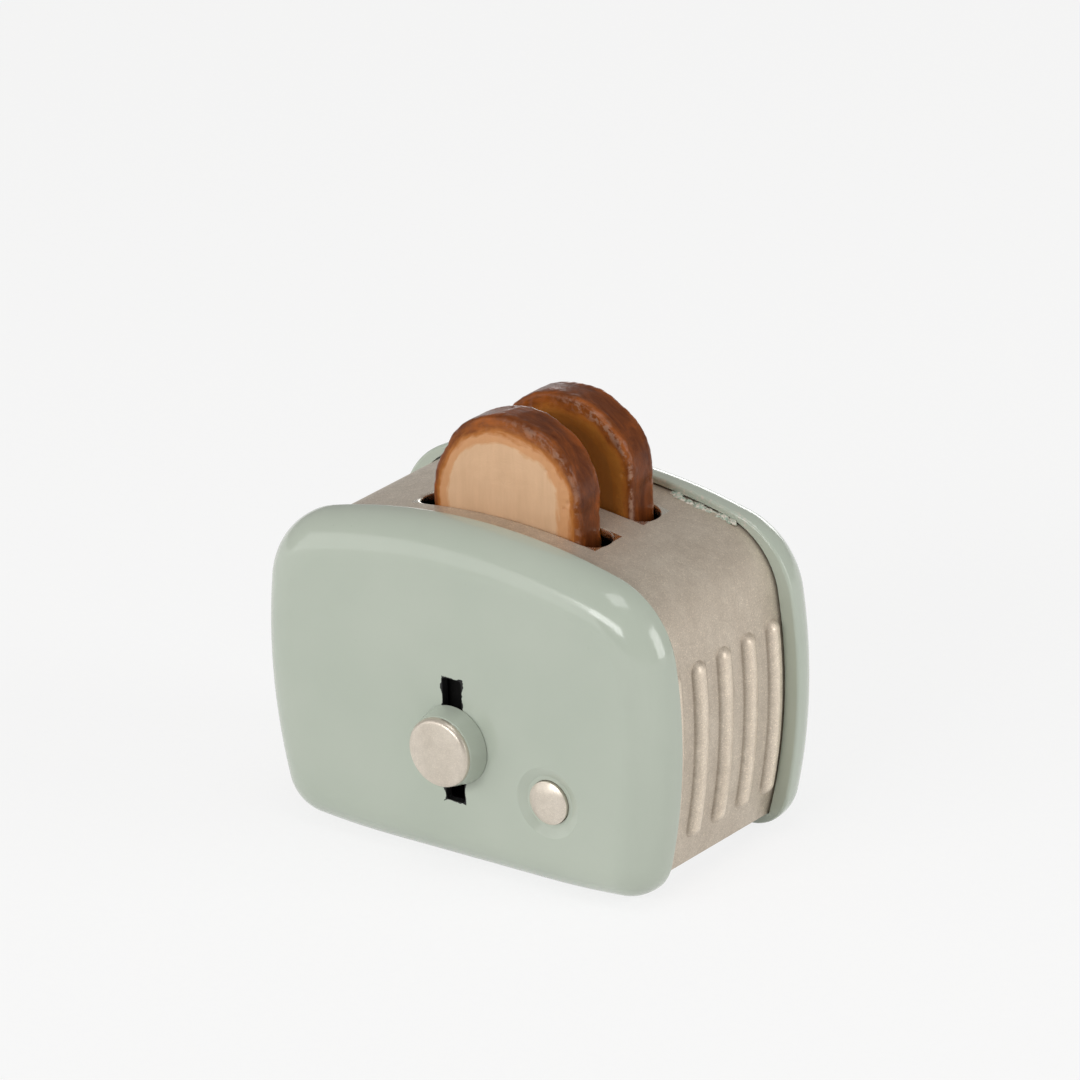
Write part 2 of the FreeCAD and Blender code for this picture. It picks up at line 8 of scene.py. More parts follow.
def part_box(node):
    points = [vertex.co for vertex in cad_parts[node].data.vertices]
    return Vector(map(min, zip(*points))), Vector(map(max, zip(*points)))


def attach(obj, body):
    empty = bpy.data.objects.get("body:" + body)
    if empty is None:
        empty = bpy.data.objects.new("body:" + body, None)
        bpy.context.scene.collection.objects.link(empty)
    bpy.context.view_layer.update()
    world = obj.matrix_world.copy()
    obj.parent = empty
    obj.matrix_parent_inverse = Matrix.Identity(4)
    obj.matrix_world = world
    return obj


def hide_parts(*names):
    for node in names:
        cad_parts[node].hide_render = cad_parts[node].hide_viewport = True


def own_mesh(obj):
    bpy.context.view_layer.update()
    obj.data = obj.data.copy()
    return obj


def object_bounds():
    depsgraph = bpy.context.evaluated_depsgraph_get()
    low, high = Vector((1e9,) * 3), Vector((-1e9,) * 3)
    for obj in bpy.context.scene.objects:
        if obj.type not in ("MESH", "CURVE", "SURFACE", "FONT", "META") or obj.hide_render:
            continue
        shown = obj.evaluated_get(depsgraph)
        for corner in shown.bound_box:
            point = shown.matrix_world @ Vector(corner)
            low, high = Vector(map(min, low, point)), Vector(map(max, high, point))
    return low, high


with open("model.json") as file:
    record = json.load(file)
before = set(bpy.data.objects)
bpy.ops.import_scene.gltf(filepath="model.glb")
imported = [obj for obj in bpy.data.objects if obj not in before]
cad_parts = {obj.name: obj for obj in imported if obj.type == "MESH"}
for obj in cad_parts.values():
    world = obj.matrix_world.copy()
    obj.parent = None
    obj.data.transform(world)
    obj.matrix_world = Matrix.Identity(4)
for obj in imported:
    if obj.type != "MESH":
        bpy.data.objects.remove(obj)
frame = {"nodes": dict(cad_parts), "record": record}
cad_low, cad_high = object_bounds()
bpy.ops.object.select_all(action="DESELECT")

MM = 0.001
nodes = frame["nodes"]

# Places read from the frame
panel_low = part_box("front_panel")[0]
rear_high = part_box("rear_panel")[1]
wrap_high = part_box("body_wrap")[1]
middle_y = (panel_low.y + rear_high.y) / 2
PANEL_DEPTH = 5.3 * MM
front_lip_y = panel_low.y + PANEL_DEPTH
rear_lip_y = rear_high.y - PANEL_DEPTH

# Lever slot, bread slots and ribs, as the front panel and the wrap have them
LEVER_SLOT_HALF = 1.325 * MM
LEVER_SLOT_LOW = 8.3 * MM
LEVER_SLOT_HIGH = 23.1 * MM
BREAD_SLOT_MIDDLE = 0.85 * MM
BREAD_SLOT_HALF_LENGTH = 12.7 * MM
BREAD_SLOT_HALF_WIDTH = 2.4 * MM
BREAD_SLOT_OFFSET = 4.5 * MM
RIB_PITCH = 4.68 * MM
RIB_HALF = 1.25 * MM
RIB_LOW = 5.6 * MM
RIB_HIGH = 27.0 * MM
RIB_SIDE = 24 * MM
WRAP_TOP_RADIUS = 76.55 * MM

# How deep the bare rims of the bread slots reach below the top of the wrap; below them the walls carry
# painted shade
BARE_RIM_FULL = 0.6 * MM
BARE_RIM_END = 1.0 * MM
RESIDUE_VOXEL = 0.06 * MM

# The photograph's viewpoint: angles in degrees, lens in millimetres on a 36 mm sensor
VIEW_AZIMUTH = 37.53
VIEW_ELEVATION = 22.21
VIEW_ROLL = -1.951
VIEW_LENS = 300.0
VIEW_DISTANCE = 1.01384
VIEW_TARGET_Z = 18.667 * MM
VIEW_RISE = 14.40 * MM
VIEW_SIDE = 0.03 * MM


# Shader helpers

def shader(name):
    """A new material with its node tree, its Principled shader and Object coordinates."""
    material = bpy.data.materials.new(name)
    material.use_nodes = True
    tree = material.node_tree
    surface = tree.nodes["Principled BSDF"]
    place = tree.nodes.new("ShaderNodeTexCoord")
    return material, tree, surface, place.outputs["Object"]


def stretched(tree, place, scale):
    """Object coordinates stretched by a scale for each axis."""
    mapping = tree.nodes.new("ShaderNodeMapping")
    mapping.inputs["Scale"].default_value = scale
    tree.links.new(place, mapping.inputs["Vector"])
    return mapping.outputs["Vector"]


def clouds(tree, place, scale, detail=3.0, roughness=0.5, distortion=0.0):
    """Soft noise; scale is in features per metre."""
    node = tree.nodes.new("ShaderNodeTexNoise")
    node.inputs["Scale"].default_value = scale
    node.inputs["Detail"].default_value = detail
    node.inputs["Roughness"].default_value = roughness
    node.inputs["Distortion"].default_value = distortion
    tree.links.new(place, node.inputs["Vector"])
    return node.outputs["Fac"]


def grains(tree, place, scale):
    """One random grey for each small cell, as metal flakes in paint have."""
    cells = tree.nodes.new("ShaderNodeTexVoronoi")
    cells.inputs["Scale"].default_value = scale
    tree.links.new(place, cells.inputs["Vector"])
    grey = tree.nodes.new("ShaderNodeSeparateColor")
    tree.links.new(cells.outputs["Color"], grey.inputs["Color"])
    return grey.outputs["Red"]


def ramp(tree, value, stops):
    """Colour ramp from (position, colour) stops."""
    node = tree.nodes.new("ShaderNodeValToRGB")
    elements = node.color_ramp.elements
    while len(elements) < len(stops):
        elements.new(0.5)
    for element, (position, colour) in zip(elements, stops):
        element.position = position
        element.color = (*colour, 1.0)
    tree.links.new(value, node.inputs["Fac"])
    return node.outputs["Color"]


def spread(tree, value, low, high, to_low=0.0, to_high=1.0, smooth=False):
    """Maps the range low to high onto to_low to to_high."""
    node = tree.nodes.new("ShaderNodeMapRange")
    node.interpolation_type = "SMOOTHSTEP" if smooth else "LINEAR"
    tree.links.new(value, node.inputs["Value"])
    for key, number in (("From Min", low), ("From Max", high), ("To Min", to_low), ("To Max", to_high)):
        node.inputs[key].default_value = number
    return node.outputs["Result"]


def sums(tree, kind, first, second=0.0):
    """Arithmetic of two values, each an output or a number."""
    node = tree.nodes.new("ShaderNodeMath")
    node.operation = kind
    for socket, value in zip(node.inputs, (first, second)):
        if isinstance(value, (int, float)):
            socket.default_value = value
        else:
            tree.links.new(value, socket)
    return node.outputs["Value"]


def blended(tree, kind, amount, first, second):
    """Mix of two colours, each an output or a colour."""
    node = tree.nodes.new("ShaderNodeMix")
    node.data_type = "RGBA"
    node.blend_type = kind
    for socket, value in ((node.inputs[0], amount), (node.inputs[6], first), (node.inputs[7], second)):
        if isinstance(value, (int, float)):
            socket.default_value = value
        elif isinstance(value, tuple):
            socket.default_value = (*value, 1.0)
        else:
            tree.links.new(value, socket)
    return node.outputs[2]


def bumped(tree, surface, layers):
    """Stacks bump layers of (height, strength, distance in metres) onto the shader."""
    normal = None
    for height, strength, distance in layers:
        node = tree.nodes.new("ShaderNodeBump")
        node.inputs["Strength"].default_value = strength
        node.inputs["Distance"].default_value = distance
        tree.links.new(height, node.inputs["Height"])
        if normal is not None:
            tree.links.new(normal, node.inputs["Normal"])
        normal = node.outputs["Normal"]
    tree.links.new(normal, surface.inputs["Normal"])


def box_mask(tree, place, low, high, edge=0.02 * MM, ragged=None):
    """1 inside the box from low to high and 0 outside it; ragged, in metres, pushes its faces out."""
    parts = tree.nodes.new("ShaderNodeSeparateXYZ")
    tree.links.new(place, parts.inputs["Vector"])
    inside = None
    for axis in range(3):
        over_low = sums(tree, "SUBTRACT", parts.outputs[axis], low[axis])
        under_high = sums(tree, "SUBTRACT", high[axis], parts.outputs[axis])
        nearest = sums(tree, "MINIMUM", over_low, under_high)
        inside = nearest if inside is None else sums(tree, "MINIMUM", inside, nearest)
    if ragged is not None:
        inside = sums(tree, "ADD", inside, ragged)
    return spread(tree, inside, -edge, edge)


# Finishes

def mint_enamel(name, shaded_slot=False, overspray=False):
    """Thick glossy stove enamel: faint cloudiness, soft waviness and a few specks.

    The slot option paints the lever slot's walls near black as painted shade, with a ragged edge that
    spills a little past the slot, and overspray dusts the top lip of the rear panel with silver.
    """
    material, tree, surface, place = shader(name)
    cloudy = clouds(tree, place, 70, detail=2)
    base = ramp(tree, cloudy, ((0.3, (0.452, 0.505, 0.425)), (0.7, (0.482, 0.530, 0.450))))
    specks = clouds(tree, place, 1100, detail=2, roughness=0.7)
    dust = spread(tree, specks, 0.74, 0.80)
    base = blended(tree, "MIX", sums(tree, "MULTIPLY", dust, 0.3), base, (0.30, 0.32, 0.27))
    rough = spread(tree, clouds(tree, place, 260, detail=3), 0.3, 0.7, 0.12, 0.18)
    if shaded_slot:
        # Painted shade: the lever slot's walls go near black, with a ragged edge that spills a little past
        # the slot
        ragged_shade_edge = spread(tree, clouds(tree, place, 750, detail=3, roughness=0.6), 0.42, 0.68, 0.0, 0.34 * MM)
        slot_low = (-LEVER_SLOT_HALF, panel_low.y - MM, LEVER_SLOT_LOW)
        slot_high = (LEVER_SLOT_HALF, panel_low.y + 3 * MM, LEVER_SLOT_HIGH)
        past_edge = sums(tree, "ADD", ragged_shade_edge, 0.04 * MM)
        slot_shade = box_mask(tree, place, slot_low, slot_high, ragged=past_edge)
        base = blended(tree, "MIX", slot_shade, base, (0.002, 0.002, 0.002))
        rough = sums(tree, "ADD", rough, sums(tree, "MULTIPLY", slot_shade, 0.6))
    if overspray:
        lip_low = (6 * MM, rear_lip_y - MM, 35 * MM)
        lip_high = (22 * MM, rear_lip_y + 0.5 * MM, 42 * MM)
        lip = box_mask(tree, place, lip_low, lip_high, edge=0.5 * MM)
        flecks = spread(tree, clouds(tree, place, 1800, detail=4, roughness=0.7), 0.52, 0.62)
        base = blended(tree, "MIX", sums(tree, "MULTIPLY", lip, flecks), base, (0.60, 0.56, 0.48))
    tree.links.new(base, surface.inputs["Base Color"])
    tree.links.new(rough, surface.inputs["Roughness"])
    surface.inputs["Coat Weight"].default_value = 0.15
    surface.inputs["Coat Roughness"].default_value = 0.06
    bumped(tree, surface, (
        (clouds(tree, place, 110, detail=1), 0.3, 0.0002),
        (clouds(tree, place, 900, detail=2), 0.04, 0.00005),
    ))
    return material


def rib_highlight_shade_masks(tree, place):
    """Masks of the painted highlight along the ribs' ridges and of the painted shade in the creases beside
    them.
    """
    parts = tree.nodes.new("ShaderNodeSeparateXYZ")
    tree.links.new(place, parts.inputs["Vector"])
    from_first = sums(tree, "ADD", parts.outputs[1], 2.5 * RIB_PITCH - middle_y)
    in_step = sums(tree, "SUBTRACT", sums(tree, "MODULO", from_first, RIB_PITCH), RIB_PITCH / 2)
    from_ridge = sums(tree, "ABSOLUTE", in_step)
    side = spread(tree, sums(tree, "ABSOLUTE", parts.outputs[0]), RIB_SIDE, RIB_SIDE + 0.5 * MM)
    height = sums(tree, "MULTIPLY", spread(tree, parts.outputs[2], RIB_LOW, RIB_LOW + MM),
                  spread(tree, parts.outputs[2], RIB_HIGH, RIB_HIGH - MM))
    on_side = sums(tree, "MULTIPLY", side, height)
    # Painted highlight along each rib's ridge
    top = spread(tree, from_ridge, RIB_HALF, 0.25 * RIB_HALF, smooth=True)
    ridge = sums(tree, "MULTIPLY", on_side, top)
    # Painted shade in the creases beside each rib
    painted_crease_shade = sums(tree, "MULTIPLY", spread(tree, from_ridge, RIB_HALF - 0.28 * MM, RIB_HALF - 0.05 * MM),
                  spread(tree, from_ridge, RIB_HALF + 0.3 * MM, RIB_HALF + 0.05 * MM))
    return ridge, sums(tree, "MULTIPLY", on_side, painted_crease_shade)


def bare_walls_and_shade(tree, place):
    """Mask of the bread slots' walls, and their tone: bright bare metal at the rim and painted shade below
    it.
    """
    parts = tree.nodes.new("ShaderNodeSeparateXYZ")
    tree.links.new(place, parts.inputs["Vector"])
    across_squared = sums(tree, "MULTIPLY", parts.outputs[0], parts.outputs[0])
    crown = sums(tree, "MULTIPLY", across_squared, 1 / (2 * WRAP_TOP_RADIUS))
    below = sums(tree, "SUBTRACT", wrap_high.z, sums(tree, "ADD", parts.outputs[2], crown))
    rim = spread(tree, below, BARE_RIM_END, BARE_RIM_FULL)
    bare = None
    for side in (-1, 1):
        y = middle_y + side * BREAD_SLOT_OFFSET
        low = (BREAD_SLOT_MIDDLE - BREAD_SLOT_HALF_LENGTH, y - BREAD_SLOT_HALF_WIDTH, 30 * MM)
        high = (BREAD_SLOT_MIDDLE + BREAD_SLOT_HALF_LENGTH, y + BREAD_SLOT_HALF_WIDTH, 42 * MM)
        walls = box_mask(tree, place, low, high, ragged=0.12 * MM)
        bare = walls if bare is None else sums(tree, "MAXIMUM", bare, walls)
    # Bare metal at the rim; deeper down the walls are painted near black as shade
    return bare, blended(tree, "MIX", rim, (0.015, 0.012, 0.010), (0.85, 0.80, 0.70))


def flake_paint(name, dark, light, metal, rough_low, rough_high, flake_scale, grain_amount, grit=0.12,
                wrap=False):
    """Metal-flake paint: brushed, mottled tone with bright and dull flakes and a fine grain.

    On the wrap, the bread slots' rims are bright bare metal with painted shade on the walls below them,
    the ribs' ridges carry a painted highlight and the creases beside them painted shade.
    """
    material, tree, surface, place = shader(name)
    streaks = clouds(tree, stretched(tree, place, (1.0, 1.0, 0.3)), 300, detail=5, roughness=0.65)
    base = ramp(tree, streaks, ((0.3, dark), (0.7, light)))
    mottled = clouds(tree, place, 900, detail=4, roughness=0.6)
    mottling = ramp(tree, mottled, ((0.3, (0.88, 0.87, 0.86)), (0.7, (1.07, 1.07, 1.07))))
    base = blended(tree, "MULTIPLY", 0.6, base, mottling)
    flakes = grains(tree, place, flake_scale)
    grain = ramp(tree, flakes, (
        (0.0, (0.80, 0.78, 0.76)),
        (0.5, (0.97, 0.97, 0.97)),
        (0.9, (1.08, 1.08, 1.07)),
        (1.0, (1.5, 1.5, 1.47)),
    ))
    base = blended(tree, "MULTIPLY", grain_amount, base, grain)
    rough = spread(tree, flakes, 0.0, 1.0, rough_high, rough_low)
    if wrap:
        ridge, painted_crease_shade = rib_highlight_shade_masks(tree, place)
        # Painted highlight: the ribs' ridges lightened, where they would catch the light
        base = blended(tree, "MULTIPLY", ridge, base, (1.38, 1.38, 1.38))
        # Painted shade: the creases beside the ribs darkened
        base = blended(tree, "MULTIPLY", sums(tree, "MULTIPLY", painted_crease_shade, 0.55), base, (0.45, 0.42, 0.38))
        # The slots' walls: bare metal at the rim, painted shade deeper down
        bare, wall_tone_and_shade = bare_walls_and_shade(tree, place)
        base = blended(tree, "MIX", bare, base, wall_tone_and_shade)
        rough = sums(tree, "SUBTRACT", rough, sums(tree, "MULTIPLY", bare, 0.22))
        tree.links.new(spread(tree, bare, 0.0, 1.0, metal, 1.0), surface.inputs["Metallic"])
    else:
        surface.inputs["Metallic"].default_value = metal
    tree.links.new(base, surface.inputs["Base Color"])
    tree.links.new(rough, surface.inputs["Roughness"])
    bumped(tree, surface, (
        (clouds(tree, place, 420, detail=3), 0.25, 0.00012),
        (grains(tree, place, flake_scale * 0.8), grit, 0.00003),
    ))
    return material


def plated_steel():
    """Zinc-plated steel with a faint drawn grain."""
    material, tree, surface, place = shader("zinc_plate_finish")
    drawn = clouds(tree, stretched(tree, place, (1.0, 0.08, 1.0)), 2500, detail=3)
    base = ramp(tree, drawn, ((0.3, (0.42, 0.42, 0.41)), (0.7, (0.60, 0.60, 0.58))))
    tree.links.new(base, surface.inputs["Base Color"])
    surface.inputs["Metallic"].default_value = 1.0
    tree.links.new(spread(tree, drawn, 0.3, 0.7, 0.28, 0.42), surface.inputs["Roughness"])
    bumped(tree, surface, ((drawn, 0.15, 0.00003),))
    return material


def dark_coat():
    """Matt black coating with a fine sandy grain."""
    material, tree, surface, place = shader("black_coat_finish")
    sand = clouds(tree, place, 4000, detail=2)
    tree.links.new(ramp(tree, sand, ((0.3, (0.003, 0.003, 0.003)), (0.7, (0.007, 0.0065, 0.006)))),
                   surface.inputs["Base Color"])
    surface.inputs["Roughness"].default_value = 0.85
    surface.inputs["Specular IOR Level"].default_value = 0.15
    bumped(tree, surface, ((sand, 0.3, 0.00004),))
    return material


def turned_brass():
    """Brass with fine rings from the lathe."""
    material, tree, surface, place = shader("brass_finish")
    rings = clouds(tree, stretched(tree, place, (0.2, 0.2, 1.0)), 3500, detail=2)
    tree.links.new(ramp(tree, rings, ((0.3, (0.55, 0.38, 0.16)), (0.7, (0.72, 0.52, 0.25)))),
                   surface.inputs["Base Color"])
    surface.inputs["Metallic"].default_value = 1.0
    surface.inputs["Roughness"].default_value = 0.3
    bumped(tree, surface, ((rings, 0.2, 0.00003),))
    return material


def wool_felt():
    """Black wool felt with a coarse nap."""
    material, tree, surface, place = shader("black_felt_finish")
    fibre = clouds(tree, place, 5000, detail=5, roughness=0.7)
    tree.links.new(ramp(tree, fibre, ((0.3, (0.004, 0.004, 0.004)), (0.7, (0.02, 0.02, 0.02)))),
                   surface.inputs["Base Color"])
    surface.inputs["Roughness"].default_value = 0.95
    bumped(tree, surface, ((fibre, 0.8, 0.0001),))
    return material


def painted_bread(name, crumb, peach, amber):
    """Resin painted as toast: crumb, brushed rim, dark glossy crust.

    The vertex attribute "bake" is below 0 on the crust band, 0 to 1 on the dark rim of the face, 1 to
    2 on the brushed light rim and above 2 on the crumb; a second attribute holds a painted highlight on
    the right edge beside the crust, where light would catch the raised line, and "brush" runs along and
    across the rim, as the brush did.
    """
    material, tree, surface, place = shader(name)
    bake = tree.nodes.new("ShaderNodeAttribute")
    bake.attribute_name = "bake"
    painted_ridge_highlight = tree.nodes.new("ShaderNodeAttribute")
    painted_ridge_highlight.attribute_name = "painted_ridge_highlight"
    brush = tree.nodes.new("ShaderNodeAttribute")
    brush.attribute_name = "brush"
    rim_place = brush.outputs["Vector"]
    along_rim = stretched(tree, rim_place, (0.16, 1.0, 0.6))
    strokes = clouds(tree, along_rim, 1100, detail=5, roughness=0.6, distortion=0.3)
    patches = clouds(tree, place, 300, detail=3, roughness=0.6)
    ragged = sums(tree, "ADD", spread(tree, strokes, 0.25, 0.75, -0.3, 0.3),
                  spread(tree, patches, 0.25, 0.75, -0.22, 0.22))
    depth = sums(tree, "ADD", bake.outputs["Fac"], ragged)
    tone = ramp(tree, spread(tree, depth, -1.0, 3.0), (
        (0.0, (0.150, 0.040, 0.010)),
        (0.25, (0.185, 0.050, 0.011)),
        (0.40, (0.270, 0.080, 0.015)),
        (0.50, amber),
        (0.58, peach),
        (0.70, peach),
        (0.76, crumb),
    ))
    crumb_grain = clouds(tree, stretched(tree, place, (1.0, 1.0, 0.12)), 1300, detail=4, roughness=0.6)
    crumb_tone = ramp(tree, crumb_grain, ((0.3, (0.90, 0.88, 0.85)), (0.7, (1.06, 1.06, 1.06))))
    tone = blended(tree, "MULTIPLY", 0.45, tone, crumb_tone)
    along_crust = stretched(tree, rim_place, (0.3, 1.0, 1.0))
    crust_grain = clouds(tree, along_crust, 650, detail=6, roughness=0.7, distortion=0.6)
    on_crust = spread(tree, depth, 1.1, 0.3)
    streaky = ramp(tree, crust_grain, (
        (0.30, (0.50, 0.40, 0.36)),
        (0.5, (0.95, 0.95, 0.95)),
        (0.70, (1.6, 1.5, 1.2)),
    ))
    tone = blended(tree, "MULTIPLY", on_crust, tone, streaky)
    # Painted highlight: a light line on the right edge beside the crust, where the raised line would catch
    # the light
    band = sums(tree, "MULTIPLY", spread(tree, bake.outputs["Fac"], 0.0, 0.25),
                spread(tree, bake.outputs["Fac"], 0.85, 0.45))
    ridge_highlight_patches = spread(tree, clouds(tree, place, 1300, detail=3, roughness=0.6), 0.45, 0.58)
    ridge_highlight_mask = sums(tree, "MULTIPLY", sums(tree, "MULTIPLY", band, painted_ridge_highlight.outputs["Fac"]), ridge_highlight_patches)
    tone = blended(tree, "MIX", sums(tree, "MULTIPLY", ridge_highlight_mask, 0.55), tone, (0.46, 0.30, 0.22))
    tree.links.new(tone, surface.inputs["Base Color"])
    tree.links.new(spread(tree, depth, 0.2, 2.2, 0.30, 0.55), surface.inputs["Roughness"])
    surface.inputs["Specular IOR Level"].default_value = 0.18
    surface.inputs["Coat Weight"].default_value = 0.03
    surface.inputs["Coat Roughness"].default_value = 0.15
    bumped(tree, surface, (
        (strokes, 0.3, 0.00015),
        (crust_grain, 0.35, 0.00016),
    ))
    return material


def dried_paint():
    """Crumbs of enamel and silver that dried along the seams."""
    material, tree, surface, place = shader("seam_residue_finish")
    mixed = clouds(tree, place, 2200, detail=3, roughness=0.6)
    tone = ramp(tree, mixed, (
        (0.42, (0.34, 0.43, 0.35)),
        (0.5, (0.50, 0.50, 0.42)),
        (0.58, (0.66, 0.61, 0.53)),
    ))
    tree.links.new(tone, surface.inputs["Base Color"])
    surface.inputs["Roughness"].default_value = 0.4
    bumped(tree, surface, ((mixed, 0.5, 0.00008),))
    return material


MINT = mint_enamel("mint_enamel_finish")
MINT_FRONT = mint_enamel("mint_front_finish", shaded_slot=True)
MINT_REAR = mint_enamel("mint_rear_finish", overspray=True)
CHAMPAGNE = flake_paint(
    "champagne_paint_finish", dark=(0.53, 0.455, 0.37), light=(0.62, 0.545, 0.45), metal=0.45,
    rough_low=0.36, rough_high=0.56, flake_scale=9000, grain_amount=0.55, wrap=True)
SILVER = flake_paint(
    "silver_paint_finish", dark=(0.62, 0.555, 0.47), light=(0.72, 0.65, 0.56), metal=0.6,
    rough_low=0.28, rough_high=0.40, flake_scale=11000, grain_amount=0.3, grit=0.05)
ZINC = plated_steel()
BLACK = dark_coat()
BRASS = turned_brass()
FELT = wool_felt()
BREAD = painted_bread(
    "bread_resin_finish",
    crumb=(0.700, 0.456, 0.280), peach=(0.630, 0.325, 0.155), amber=(0.450, 0.165, 0.040))
DARK_BREAD = painted_bread(
    "browned_bread_finish",
    crumb=(0.38, 0.155, 0.030), peach=(0.44, 0.170, 0.028), amber=(0.40, 0.135, 0.022))
RESIDUE = dried_paint()

SLOT_FINISH = {
    "mint_enamel": MINT, "champagne_paint": CHAMPAGNE, "silver_paint": SILVER, "zinc_plate": ZINC,
    "black_coat": BLACK, "brass": BRASS, "black_felt": FELT, "bread_resin": BREAD,
}
for entry in frame["record"]["subparts"]:
    node = nodes[entry["node"]]
    node.data.materials.clear()
    node.data.materials.append(SLOT_FINISH[entry["material_slot"]])
nodes["front_panel"].data.materials[0] = MINT_FRONT
nodes["rear_panel"].data.materials[0] = MINT_REAR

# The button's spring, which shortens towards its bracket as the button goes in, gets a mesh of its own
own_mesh(nodes["button_spring"])


# Bread: half widths of the crown and of the straight part below it, the crown's height and its gap
# below the top of the solid slice
CROWN_HALF_WIDTH = 10.35 * MM
CROWN_RISE = 8.3 * MM
CROWN_GAP = 0.05 * MM
NECK_HALF_WIDTH = 10.2 * MM
SLICE_EDGE = 0.55 * MM
SLICE_EDGE_STEPS = 5
SLICE_VOXEL = 0.17 * MM
TOP_MARGIN = 0.02 * MM
PIT_DEPTH = 0.3 * MM

# The left shoulder slopes inwards and the crown leans over to the right
LEFT_SLOPE = 0.16
CROWN_LEAN = 0.6 * MM

# Raised line beside the crust on the right, with its place and width in mm from the outline
RIDGE_PLACE = 0.4
RIDGE_WIDTH = 0.28
RIDGE_HEIGHT = 0.13 * MM

# Hand-cut unevenness: features per metre and height in mm, over all and on the rim alone
WOBBLE_COARSE = (240, 0.15)
WOBBLE_FINE = (700, 0.05)
WOBBLE_RIM = (1500, 0.06)
RIDGE_GRAIN = 900

# How far in from a face, in mm, the crust band starts, and the painted highlight and the ridge end
BAND_START = 0.45
RIDGE_HIGHLIGHT_END = 0.7
RIDGE_END = 0.8

# Widths of the dark rim and of both rims together on a slice's face, in mm: left, crown, right
DARK_RIM = (1.0, 2.2, 0.7)
WHOLE_RIM = (2.2, 4.0, 3.0)


def apply_all(piece):
    """Applies every modifier of the piece, in order."""
    bpy.context.view_layer.objects.active = piece
    for modifier in list(piece.modifiers):
        bpy.ops.object.modifier_apply(modifier=modifier.name)


def only(piece):
    """Selects the piece alone and makes it active."""
    bpy.ops.object.select_all(action="DESELECT")
    piece.select_set(True)
    bpy.context.view_layer.objects.active = piece


def joined(first, second):
    """Joins the second piece's mesh into the first piece."""
    only(first)
    second.select_set(True)
    bpy.ops.object.join()


def settle(piece):
    """Puts the piece's place, turn and scale into its mesh."""
    only(piece)
    bpy.ops.object.transform_apply(location=True, rotation=True, scale=True)


def rounded(piece, width, segments):
    """Rounds the edges between faces that meet at more than 60 degrees."""
    settle(piece)
    modifier = piece.modifiers.new("rounding", "BEVEL")
    modifier.width = width
    modifier.segments = segments
    modifier.limit_method = "ANGLE"
    modifier.angle_limit = math.radians(60.0)
    apply_all(piece)


def fuse(piece, voxel):
    """Adds the modifier that fuses the piece's overlapping lumps into one skin."""
    skin = piece.modifiers.new("fuse", "REMESH")
    skin.mode = "VOXEL"
    skin.voxel_size = voxel


def dress(piece, finish):
    """Gives the piece one finish and a smooth surface."""
    piece.data.materials.clear()
    piece.data.materials.append(finish)
    only(piece)
    bpy.ops.object.shade_smooth()


def clamped(value, low=0.0, high=1.0):
    return max(low, min(high, value))


def rim_widths(across, rise):
    """Dark rim and whole rim, in mm, where a point lies to a side and above the crown's foot."""
    up = clamped(rise)
    crown = up * up * (3 - 2 * up)
    side = 2 if across > 0 else 0
    lean = min(1.0, abs(across) * 1.6)
    widths = []
    for rim in (DARK_RIM, WHOLE_RIM):
        edge = rim[1] * (1 - lean) + rim[side] * lean if rise > 0 else rim[side]
        widths.append(edge * (1 - crown) + rim[1] * crown if rise > 0 else edge)
    return widths


def slice_block(name, middle, depth, crown_z, foot_z):
    """An oval crown and a straight lower part, fused and softened."""
    bpy.ops.mesh.primitive_cylinder_add(
        vertices=160, radius=1.0, depth=depth, location=(middle.x, middle.y, crown_z),
        rotation=(math.pi / 2, 0, 0), scale=(CROWN_HALF_WIDTH, CROWN_RISE, 1.0))
    crown = bpy.context.object
    rounded(crown, SLICE_EDGE, SLICE_EDGE_STEPS)
    foot_height = crown_z - foot_z
    bpy.ops.mesh.primitive_cube_add(
        size=1.0, location=(middle.x, middle.y, foot_z + foot_height / 2),
        scale=(2 * NECK_HALF_WIDTH, depth, foot_height))
    foot = bpy.context.object
    rounded(foot, SLICE_EDGE, SLICE_EDGE_STEPS)
    joined(crown, foot)
    crown.name = name
    crown.data.name = name
    fuse(crown, SLICE_VOXEL)
    soften = crown.modifiers.new("soften", "SMOOTH")
    soften.factor = 0.5
    soften.iterations = 8
    apply_all(crown)
    return crown


def wobbles(point, offset, layer):
    """Height in mm of one layer of unevenness at a point."""
    per_metre, height = layer
    return noise.noise(point * per_metre + offset) * height


